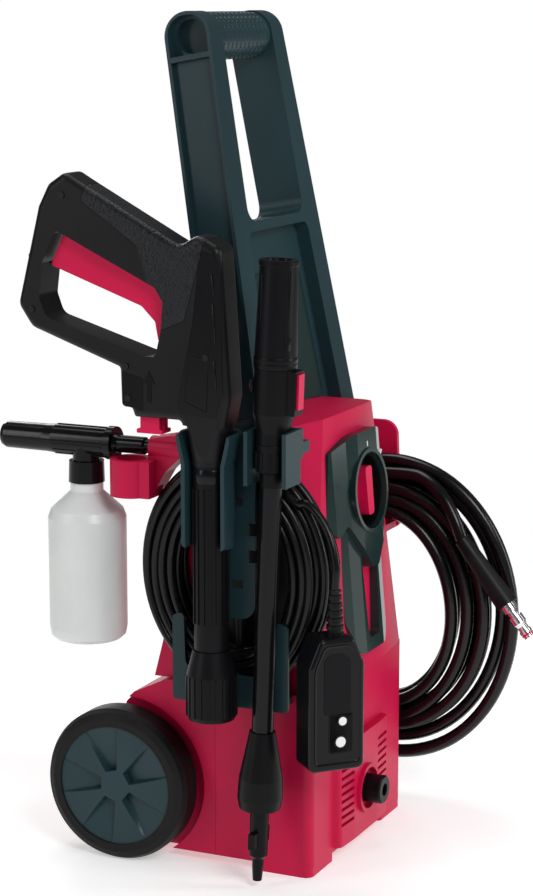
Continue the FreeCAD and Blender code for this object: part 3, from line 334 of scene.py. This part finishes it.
LOOKS = {
    "tyre": tyre, "slate_plastic": slate_plastic, "slate_gloss": slate_gloss, "steel": steel,
    "red_plastic": red_plastic, "red_gloss": red_gloss, "black_plastic": black_plastic,
    "aluminium": aluminium, "brass": brass, "chrome": chrome, "white_plastic": bottle_wall,
    "clear_tube": clear_tube, "rubber": soft_rubber, "cord_rubber": cord_jacket, "hose_rubber": hose_jacket,
}


def wear(node, material):
    """Puts one finish on a part of the frame."""
    data = nodes[node].data
    data.materials.clear()
    data.materials.append(material)


for part in frame["record"]["subparts"]:
    wear(part["node"], LOOKS[part["material_slot"]])
wear("gun_screws", black_steel)
wear("switch_knob", red_gloss)
wear("gfci_test_button", white_plastic)
wear("gfci_reset_button", white_plastic)
wear("soap_nozzle_body", black_gloss)
wear("soap_nozzle_tip", black_gloss)
wear("lance_tube", black_gloss)
wear("gfci_plug_body", black_gloss)
print("finishes:", len(bpy.data.materials))

# %% [markdown]
# ## Cords
#
# A wound cord is one line that never crosses through itself. Its turns sit in layers, each a cord's
# width from the next, and between turns the line slides from one seat to the next. A loop works out
# sixteen points for each turn, and a smooth spline runs through the result. A stack of rings would be
# simpler, but it has no ends, and a real cord can be followed from one end to the other.

# %% Winding
POINTS_PER_TURN = 16
SLIDE_FROM = 0.7


def winding(centre, half, seats, start, stop, looseness, wander):
    """Points of an oval winding about X. seats are (x, outward step, sag), one for each turn.

    The last part of each turn slides to the next seat. Looseness opens the side that hangs away from
    the hook, and wander bends each turn a little differently."""
    line = []
    total = (len(seats) - 1) * 360 + (stop - start) % 360
    count = int(total / 360 * POINTS_PER_TURN)
    for i in range(count + 1):
        turned = total * i / count
        angle = math.radians(start + turned)
        turn = min(int(turned // 360), len(seats) - 1)
        following = seats[min(turn + 1, len(seats) - 1)]
        slide = max(0.0, (turned / 360 - turn - SLIDE_FROM) / (1 - SLIDE_FROM))
        slide = slide * slide * (3 - 2 * slide)
        x, step, sag = (here * (1 - slide) + there * slide for here, there in zip(seats[turn], following))
        ahead = max(0.0, math.sin(angle))
        step = step * (1 + looseness * ahead) + wander * math.sin(2 * angle + 2.4 * turn)
        line.append((x, centre[0] - (half[0] + step) * math.sin(angle),
                     centre[1] + (half[1] + step) * math.cos(angle) - sag * (1 - math.cos(angle)) / 2))
    return line


def cord_piece(name, line, width, material):
    """A smooth round cord that follows a line of control points."""
    data = bpy.data.curves.new(name, "CURVE")
    data.dimensions = "3D"
    data.bevel_depth = width / 2
    data.bevel_resolution = 3
    data.resolution_u = 6
    data.use_fill_caps = True
    spline = data.splines.new("NURBS")
    spline.points.add(len(line) - 1)
    for point, spot in zip(spline.points, line):
        point.co = (*spot, 1)
    spline.order_u = 3
    spline.use_endpoint_u = True
    data.materials.append(material)
    made = bpy.data.objects.new(name, data)
    bpy.context.scene.collection.objects.link(made)
    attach(made, "chassis")
    return made


# %% [markdown]
# ## The power cord
#
# The cord leaves the tower, goes eighteen times round two hooks in four layers, and drops to its plug.
# The layers are five and four turns deep in turn, so each turn lies in the dip between two others. The
# short ends are listed one by one, because they go where a hand left them.

# %% The power cord
CORD_WIDTH = 0.0085
five = (0.0172, 0.0086, 0.0, -0.0086, -0.0172)
four = (-0.0129, -0.0043, 0.0043, 0.0129)
layers = [(-0.1177, five), (-0.1252, four), (-0.1326, five), (-0.1399, four)]
seats = [(x, step, 0.0) for x, steps in layers for step in steps]
cord_line = [(-0.120, -0.045, 0.226), (-0.120, -0.044, 0.215), (-0.1195, -0.038, 0.204)]
cord_line += winding((-0.045, 0.302), (0.079, 0.097), seats, 195, 48, 0.0, wander=0.0006)
cord_line += [(-0.1385, -0.122, 0.379), (-0.139, -0.137, 0.366), (-0.143, -0.150, 0.347),
              (-0.147, -0.157, 0.324), (-0.148, -0.1565, 0.311), (-0.148, -0.156, 0.301)]
power_cord = cord_piece("power_cord", cord_line, CORD_WIDTH, cord_jacket)
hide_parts("power_cord_coil", "power_cord_tail")
print("power cord points:", len(cord_line))

# %% [markdown]
# ## The hose
#
# The hose is stiffer and thicker, and it hangs from one hook, so its turns open up in front. Each seat
# has its own sag as well, and the turns spread into a loose fan at the bottom instead of a tidy coil.

# %% The hose
HOSE_WIDTH = 0.014
hose_seats = [(0.1578, 0.0195, 0.004), (0.1578, 0.0065, 0.0), (0.1578, -0.0065, 0.004),
              (0.1578, -0.0195, 0.0), (0.1434, -0.0195, 0.003), (0.1434, -0.0065, 0.008),
              (0.1505, 0.0310, 0.006), (0.1434, 0.0065, 0.002), (0.1434, 0.0195, 0.0)]
hose_line = [(0.150, 0.010, 0.318), (0.150, 0.003, 0.330), (0.153, -0.010, 0.343)]
hose_line += winding((-0.090, 0.210), (0.1025, 0.125), hose_seats, -18, 12, 0.35, wander=0.002)
hose_line += [(0.1395, -0.135, 0.352), (0.133, -0.158, 0.336), (0.128, -0.173, 0.314),
              (0.1265, -0.178, 0.303), (0.126, -0.182, 0.293)]
hose = cord_piece("hose", hose_line, HOSE_WIDTH, hose_jacket)
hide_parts("hose_coil", "hose_tail")
print("hose points:", len(hose_line))

# %% [markdown]
# ## Helpers for mouldings
#
# Most details are either a flat plate with softened edges or something turned. Both start as a few
# vertices in a bmesh: a plate is a face that is extruded and bevelled, and a turned piece is a profile
# that is spun round an axis and closed. Sizes are typed in millimetres, as on a drawing. Broad flat
# faces are shaded flat, or the soft edges would bend the light across all of them.

# %% Plates and turned pieces
UPRIGHT = Matrix.Identity(4)
MILLIMETRE = 0.001
SHARP_FROM = math.radians(32)
SOFT = {"offset_type": "OFFSET", "profile": 0.5, "affect": "EDGES", "material": -1}


def finish_piece(name, mesh, material, body):
    """Turns a bmesh drawn in millimetres into a named piece that rides with a body of the frame."""
    bmesh.ops.scale(mesh, verts=mesh.verts, vec=(MILLIMETRE, MILLIMETRE, MILLIMETRE))
    bmesh.ops.remove_doubles(mesh, verts=mesh.verts, dist=1e-6)
    bmesh.ops.recalc_face_normals(mesh, faces=mesh.faces)
    data = bpy.data.meshes.new(name)
    mesh.to_mesh(data)
    mesh.free()
    data.materials.append(material)
    data.shade_smooth()
    data.set_sharp_from_angle(angle=SHARP_FROM)
    for polygon in data.polygons:
        polygon.use_smooth = len(polygon.vertices) <= 4
    made = bpy.data.objects.new(name, data)
    bpy.context.scene.collection.objects.link(made)
    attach(made, body)
    print(name, len(data.polygons), "faces")
    return made


def add_plate(mesh, outline, facing, low, high, corner=0.0, edge=0.4, place=UPRIGHT, rim=0.0, sunk=0.0):
    """Extrudes an outline from low to high along X or Y, and softens its corners and outer edge.

    A rim leaves a raised border of that width round a floor that is sunk into the plate."""
    axis = "XY".index(facing)

    def seat(a, b, depth):
        return (depth, a, b) if facing == "X" else (a, depth, b)

    def level(spots):
        return all(abs(v.co[axis] - high) < 1e-4 for v in spots)

    ring = [mesh.verts.new(seat(a, b, low)) for a, b in outline]
    floor = mesh.faces.new(ring)
    grown = bmesh.ops.extrude_face_region(mesh, geom=[floor])["geom"]
    top = [v for v in grown if isinstance(v, bmesh.types.BMVert)]
    bmesh.ops.translate(mesh, verts=top, vec=seat(0, 0, high - low))
    cap = next(f for f in grown if isinstance(f, bmesh.types.BMFace))
    if corner:
        tops = set(top)
        upright = [e for v in ring for e in v.link_edges if e.other_vert(v) in tops]
        bmesh.ops.bevel(mesh, geom=upright, offset=corner, segments=4, **SOFT)
        cap = max((f for f in mesh.faces if level(f.verts)), key=lambda f: f.calc_area())
    if rim:
        bmesh.ops.inset_region(mesh, faces=[cap], thickness=rim, use_even_offset=True)
        bmesh.ops.translate(mesh, verts=cap.verts, vec=seat(0, 0, -sunk if high > low else sunk))
    if edge:
        outer = [e for e in mesh.edges if e.is_manifold and e.calc_face_angle(0) > 1.0 and level(e.verts)]
        bmesh.ops.bevel(mesh, geom=outer, offset=edge, segments=2, **SOFT)
    if place != UPRIGHT:
        bmesh.ops.transform(mesh, matrix=place, verts=mesh.verts)


def plate(name, outline, facing, low, high, material, body, slot, **shape):
    """One plate as a piece of its own."""
    mesh = bmesh.new()
    add_plate(mesh, outline, facing, low, high, **shape)
    finish_piece(name, mesh, material, body)


def turned(name, profile, place, material, body, slot, steps=40):
    """Spins a closed profile of (radius, height) about the Z axis, then puts it in its place."""
    mesh = bmesh.new()
    ring = [mesh.verts.new((radius, 0, height)) for radius, height in profile]
    edges = [mesh.edges.new((a, b)) for a, b in zip(ring, ring[1:] + ring[:1])]
    bmesh.ops.spin(mesh, geom=ring + edges, cent=(0, 0, 0), axis=(0, 0, 1), angle=2 * math.pi, steps=steps,
                   use_merge=True)
    bmesh.ops.transform(mesh, matrix=place, verts=mesh.verts)
    return finish_piece(name, mesh, material, body)


def place_at(spot, *turns):
    """A place on the machine: a point in millimetres, then turns given as (degrees, axis)."""
    place = Matrix.Translation(spot)
    for degrees, axis in turns:
        place = place @ Matrix.Rotation(math.radians(degrees), 4, axis)
    return place


# %% [markdown]
# ## The ribbed sleeve of the cord
#
# A sleeve keeps the cord from kinking where it enters the plug. It is a taper cut by grooves. It could
# be a cone with rings cut out of it, but a stepped profile that is spun once is closed and clean.

# %% Cord sleeve


def sleeve_profile(low, high, wide, narrow, grooves, bore):
    """A taper with square-shouldered rings."""
    profile = [(bore, low), (wide, low)]
    for i in range(grooves):
        share = (i + 0.5) / grooves
        radius = wide + (narrow - wide) * share
        middle = low + (high - low) * share
        half = (high - low) / grooves / 4
        profile += [(radius + 0.3, middle - half), (radius - 1.1, middle - half * 0.7),
                    (radius - 1.1, middle + half * 0.7), (radius + 0.2, middle + half)]
    return profile + [(narrow, high - 0.6), (narrow - 0.6, high), (bore, high)]


plug_sleeve = turned("plug_sleeve", sleeve_profile(0, 43, 8.7, 5.6, 6, 3.6), place_at((-148, -156, 258)),
                     soft_rubber, "chassis", "rubber")
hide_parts("plug_strain_relief")

# %% [markdown]

# %% [markdown]
# ## The plug's face
#
# The plug is a box with sloping shoulders. Its face carries a raised border round a sunken label
# field, and a small frame round the two buttons. Each is a plate drawn in the plug's own turned frame,
# because a slanting outline would be hard to read in the machine's. The field stays blank.

# %% Plug face
PLUG = place_at((-152, -153, 194), (-43, "Z"))
PLUG_FACE = -18.0
plate("plug_border", [(-23.5, -57), (23.5, -57), (23.5, 35), (13.5, 58), (-13.5, 58), (-23.5, 35)],
      "Y", -17.6, -19.4, black_gloss, "chassis", "black_plastic", corner=5, edge=0.5, rim=2.0, sunk=1.2,
      place=PLUG)
for name, (x, z), radius in (("test_collar", (4.4, -15), 4.3), ("reset_collar", (2.5, -35), 5.3)):
    turned(name, [(radius, 0), (radius + 1.6, 0), (radius + 1.6, 1.3), (radius + 1.1, 1.7), (radius, 1.7)],
           PLUG @ place_at((x, PLUG_FACE, z), (90, "X")), black_plastic, "chassis", "black_plastic", 28)
plate("plug_label_field", [(-14, -8), (13, -8), (13, 44), (6, 50), (-8, 50), (-14, 44)],
      "Y", PLUG_FACE, PLUG_FACE - 0.7, black_plastic, "chassis", "black_plastic", corner=2, edge=0.2,
      place=PLUG)
plate("plug_button_frame", [(-9, -46), (15, -46), (15, -6), (-9, -6)],
      "Y", PLUG_FACE, PLUG_FACE - 0.9, black_plastic, "chassis", "black_plastic", corner=3, edge=0.25,
      rim=1.2, sunk=0.7, place=PLUG)

# %% [markdown]
# ## The hand grip
#
# The bar of the handle is covered in small raised pads, so that it holds in a wet hand. A bump in the
# finish would look right only from far away, so each pad is a low eight-sided cone, laid in staggered
# rows round the bar. They are only a few faces each, because there are nearly two hundred.

# %% Grip pads
low, high = (1000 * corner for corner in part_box("handle_grip"))
bar = (low + high) / 2
bar_radius = (high.z - low.z) / 2
ROWS, PADS_IN_ROW, BARE_END = 16, 11, 9
mesh = bmesh.new()
for row in range(ROWS):
    for column in range(PADS_IN_ROW):
        share = (column + 0.5 * (row % 2)) / (PADS_IN_ROW - 0.5)
        along = low.x + BARE_END + (high.x - low.x - 2 * BARE_END) * share
        spot = place_at((along, bar.y, bar.z), (360 * row / ROWS, "X"))
        lift = spot @ place_at((0, 0, bar_radius + 0.1)) @ Matrix.Diagonal((1.0, 1.35, 1, 1))
        bmesh.ops.create_cone(mesh, cap_ends=True, segments=8, radius1=2.9, radius2=1.7, depth=1.3,
                              matrix=lift)
finish_piece("grip_pads", mesh, slate_plastic, "chassis")

# %% [markdown]
# ## The gun's side
#
# The shells meet along the middle of the gun. On the outside there is a long raised panel over the
# valve, with three thin ribs, a framed field and an arrow. They are plates that stand on the shell's
# flat face, because cutting them into the shell would change a part that came from the design.

# %% Gun panel
GUN_FACE = -188.8


def raised(name, outline, height, material=black_gloss, **shape):
    """A moulding on the flat outside of the gun."""
    plate(name, outline, "X", GUN_FACE, GUN_FACE - height, material, "gun", "black_plastic", **shape)


raised("gun_side_panel", [(-38, 616), (-52, 612), (-59, 600), (-60, 486), (-53, 460), (-16, 462), (-13, 470),
                          (-29, 545)], 0.8, corner=2.5, edge=0.35)
raised("gun_label_frame", [(-26, 518), (-46, 514), (-44, 466), (-21, 475)], 1.3, black_plastic, corner=1,
       edge=0.2, rim=1.1, sunk=0.7)
for name, (a, b), (c, d) in (("gun_rib_upper", (-50, 594), (-52, 575)),
                             ("gun_rib_middle", (-51, 567), (-53, 530)),
                             ("gun_rib_lower", (-52, 514), (-54, 488))):
    raised(name, [(a - 1, b), (a + 1, b), (c + 0.6, d), (c - 0.6, d)], 1.35, edge=0.2)
raised("gun_arrow", [(15.5, 501), (9, 489), (12.6, 490), (13.6, 471), (18.6, 472), (17.4, 490),
                     (21.5, 489)], 0.7, black_plastic, edge=0.15)
raised("gun_heel_plate", [(44, 499), (22, 494), (22, 462), (44, 468)], 0.5, black_plastic, corner=2, edge=0.2)

# %% [markdown]
# ## The gun's grip
#
# The hand holds the gun where its plastic is pebbled like leather. The grip is part of the shell, so it
# is a mask in the shell's finish. Straight lines cut it out, and a thin groove follows them; the groove is
# painted near-black, as painted shade. The pebbles are too fine and too many to model, and their tops
# are painted lighter, as a painted highlight.

# %% Gun shell finish


def beyond(across, upward, first, second):
    """How far a point is, in metres, to the left of the line from first to second."""
    (a, b), (c, d) = first, second
    length = math.hypot(c - a, d - b)
    slope_y, slope_z = (d - b) / length, -(c - a) / length
    return across * -slope_y + upward * -slope_z + (a * slope_y + b * slope_z) / 1000


def gun_skin():
    """Black plastic with a pebbled grip that a fine groove outlines; painted highlight on pebble tops,
    painted shade in the groove.
    """
    made = Finish("gun_skin", Specular_IOR_Level=0.22)
    spot = made.node("ShaderNodeTexCoord", {}, {}, "Object")
    across = made.node("ShaderNodeSeparateXYZ", {}, {"Vector": spot}, "Y")
    upward = made.node("ShaderNodeSeparateXYZ", {}, {"Vector": spot}, "Z")
    over = beyond(across, upward, (27, 617), (86, 657)).most(beyond(across, upward, (21, 597), (27, 617)))
    heel = beyond(across, upward, (86, 657), (79, 680))
    panel = beyond(across, upward, (-43, 628), (-21, 550))
    tail = beyond(across, upward, (-21, 550), (-4, 543))
    inside = over.least(heel).least(panel).least(tail)
    skin = inside.above(0.0)
    groove = 1 - made.spread(abs(inside), 0.0002, 0.0007)
    pebbles = 1 - made.cells(520.0) ** 1.5
    grain = made.noise(900.0, 2.0)
    flow = made.spread(made.noise(12.0, 4.0), 0.35, 0.65)
    shell = made.mix(flow, shade(BLACK, 0.8), shade(BLACK, 1.3))
    # Painted highlight: the pebble tops are coloured lighter than the shell, standing in for their sheen.
    painted_pebble_highlight = made.mix(pebbles, shade(BLACK, 0.7), shade(BLACK, 4.5))
    # Painted shade: the groove is coloured near-black, darker than the shell around it.
    made.feed(Base_Color=made.mix(groove, made.mix(skin, shell, painted_pebble_highlight), (0.002, 0.002, 0.002, 1)))
    made.feed(Roughness=flow * 0.08 + skin * pebbles * -0.08 + 0.36)
    made.raise_by(skin * pebbles * 0.6 + grain * 0.04 + groove * -0.8, 0.0006, 0.9)
    return made.material


gun_shell_finish = gun_skin()
wear("gun_left_shell", gun_shell_finish)
wear("gun_right_shell", gun_shell_finish)
print("gun shells finished")

# %% [markdown]
# ## The painted shadow behind the cord
#
# The coil of cord shades the tower's side behind it. A dark oval sheet on the tower's side is painted
# shadow, so little red shows between its turns. The sheet could be a squashed cylinder, but as a plate
# with an oval outline it gets its soft edge for free.

# %% Cord shadow sheet
oval = [(-45 + 50 * math.cos(math.radians(degrees)), 302 + 86 * math.sin(math.radians(degrees)))
        for degrees in range(0, 360, 9)]
# Painted shadow: a dark sheet where the coil shades the tower's side.
plate("cord_shadow_sheet", oval, "X", -111.5, -113.0, black_plastic, "chassis", "black_plastic", edge=0.6)

# %% [markdown]
# ## Rings on the lances
#
# Turned collars mark where one piece of a lance plugs into the next. Each is a thin band with rounded
# edges, spun in the lance's own leaning frame.

# %% Lance bands
LANCE = place_at((-160, -81.4, 8), (2.16, "X"))


def band(name, radius, low, high, place, material, body, lift=0.8):
    """A collar that stands proud of a tube of that radius, from low to high along it."""
    profile = [(radius - 1, low), (radius + lift * 0.6, low), (radius + lift, low + 0.5),
               (radius + lift, high - 0.5), (radius + lift * 0.6, high), (radius - 1, high)]
    turned(name, profile, place, material, body, "black_plastic", 48)


band("lance_lower_band", 10.5, 388, 402, LANCE, black_plastic, "lance")
band("lance_waist_band", 15.5, 424, 429, LANCE, black_plastic, "lance")
band("lance_cap_band", 20.0, 506, 511, LANCE, black_plastic, "lance_nozzle", 0.5)
band("lance_cap_lip", 17.8, 595, 599.5, LANCE, black_plastic, "lance_nozzle", 0.9)

# %% [markdown]
# ## Tabs on the lance
#
# The nozzle cap has a tab and two splines for the fingers, and opposite the latch a small red pin sits
# in a frame. All are cubes that are stretched, put in the lance's frame and bevelled, which is quicker
# than drawing an outline for each.

# %% Lance tabs
for name, spot, size, material, body in (
        ("lance_cap_tab", (-8.5, -16.5, 524), (9, 3.2, 11), black_plastic, "lance_nozzle"),
        ("lance_cap_spline", (-9, -15.6, 562), (2.0, 2.4, 58), black_plastic, "lance_nozzle"),
        ("lance_cap_spline_rear", (-15.5, 9, 556), (2.4, 2.0, 64), black_plastic, "lance_nozzle"),
        ("lance_pin_frame", (-7.5, 18.2, 483), (11, 3.4, 11), black_plastic, "lance"),
        ("lance_pin", (-8.5, 19.6, 483), (5.5, 2.6, 5.5), red_gloss, "lance")):
    mesh = bmesh.new()
    bmesh.ops.create_cube(mesh, size=1, matrix=LANCE @ place_at(spot) @ Matrix.Diagonal((*size, 1)))
    bmesh.ops.bevel(mesh, geom=mesh.edges[:], offset=0.5, segments=2, **SOFT)
    finish_piece(name, mesh, material, body)

# %% [markdown]
# ## The gun's barrel and the lance's waist
#
# The gun's barrel has one glossy collar, turned about its own upright axis. The lance's waist has twelve
# short ribs for the fingers. They are small cubes like the tabs, placed round the lance by a loop and
# kept in one piece, because nobody would move one rib.

# %% Barrel band and waist ribs
GUN_AXIS = place_at((-171, -39, 0))
band("barrel_band", 16.5, 398, 411, GUN_AXIS, black_gloss, "gun", 0.7)
WAIST_RIBS = 12
mesh = bmesh.new()
for i in range(WAIST_RIBS):
    turn = LANCE @ place_at((0, 0, 0), (360 * (i + 0.5) / WAIST_RIBS, "Z")) @ place_at((0, 15.6, 413))
    bmesh.ops.create_cube(mesh, size=1, matrix=turn @ Matrix.Diagonal((2.2, 1.6, 16, 1)))
bmesh.ops.bevel(mesh, geom=mesh.edges[:], offset=0.3, segments=1, **SOFT)
finish_piece("lance_waist_ribs", mesh, black_plastic, "lance")

# %% [markdown]
# ## Handle panel and dial marks
#
# The web between the handle's legs carries a shallow raised panel. Round the dial there are two plain
# marks for off and on, made as small bars instead of words. Each is drawn upright and then leans with
# the face it sits on.

# %% Handle panel
HANDLE = place_at((0, -65, 434), (-10.2, "X"))
plate("handle_panel", [(-66, 14), (66, 14), (55, 148), (-55, 148)], "Y", 14.0, 10.6, slate_gloss,
      "chassis", "slate_gloss", corner=8, edge=0.8, place=HANDLE)

# %% Dial marks
DIAL = place_at((0, -131, 365), (-5, "X"))
for name, spot, turn in (("dial_mark_off", (0, 46.5), 0), ("dial_mark_on", (33, 33), 45)):
    plate(name, [(-0.9, -2.6), (0.9, -2.6), (0.9, 2.6), (-0.9, 2.6)], "Y", 4.0, -0.3, white_plastic,
          "chassis", "white_plastic", edge=0.15, place=DIAL @ place_at((spot[0], 0, spot[1]), (turn, "Y")))

# %% [markdown]
# ## Seal and tyre lines
#
# The plated nipple of the hose carries a red rubber ring that seals it in the gun, and each tyre has a
# bead and a fine line moulded in it. A torus would do, but a small round profile that is spun uses the
# same helper as every other turned piece.

# %% Seal ring and tyre lines


def ring_profile(radius, thick, count=10):
    """A round section at a radius, for a ring."""
    return [(radius + thick * math.cos(2 * math.pi * i / count), thick * math.sin(2 * math.pi * i / count))
            for i in range(count)]


boot_top, boot_tip = Vector((126, -182, 293)), Vector((124, -233, 230))
way = (boot_tip - boot_top).normalized()
seal = Matrix.Translation(boot_tip + way * 36.5) @ way.to_track_quat("Z", "Y").to_matrix().to_4x4()
turned("nipple_seal", ring_profile(5.6, 1.1), seal, red_gloss, "chassis", "rubber", 28)
for side, body in ((-1, "left_wheel"), (1, "right_wheel")):
    flat = place_at((side * 152.2, 78, 77), (90, "Y"))
    for name, radius in (("bead", 61.6), ("line", 66.0)):
        turned(f"{body}_{name}", ring_profile(radius, 0.55, 8), flat, tyre, body, "tyre", 72)

# %% [markdown]
# ## The floor
#
# A round pale sheet takes the shadow of the machine. Its colour fades and its glow grows with distance
# from the middle, so that its edge melts into the white surround.

# %% Floor
FLOOR_RADIUS = 3.2
FADE_FROM, FADE_TO = 0.35, 1.5
mesh = bmesh.new()
bmesh.ops.create_circle(mesh, cap_ends=True, segments=96, radius=FLOOR_RADIUS)
floor_finish = Finish("studio_floor", Roughness=0.9, Specular_IOR_Level=0.0, Emission_Strength=1.0)
distance = floor_finish.node("ShaderNodeVectorMath", {"operation": "LENGTH"}, {0: floor_finish.place()},
                             "Value")
reach = floor_finish.spread(distance, FADE_FROM, FADE_TO)
floor_finish.feed(Base_Color=floor_finish.mix(reach, (0.8, 0.8, 0.8, 1), (0, 0, 0, 1)))
floor_finish.feed(Emission_Color=floor_finish.mix(reach, (0.42, 0.42, 0.42, 1), (1, 1, 1, 1)))
data = bpy.data.meshes.new("studio_floor")
mesh.to_mesh(data)
mesh.free()
data.materials.append(floor_finish.material)
floor = bpy.data.objects.new("studio_floor", data)
bpy.context.scene.collection.objects.link(floor)
print("floor:", FLOOR_RADIUS, "m in radius")
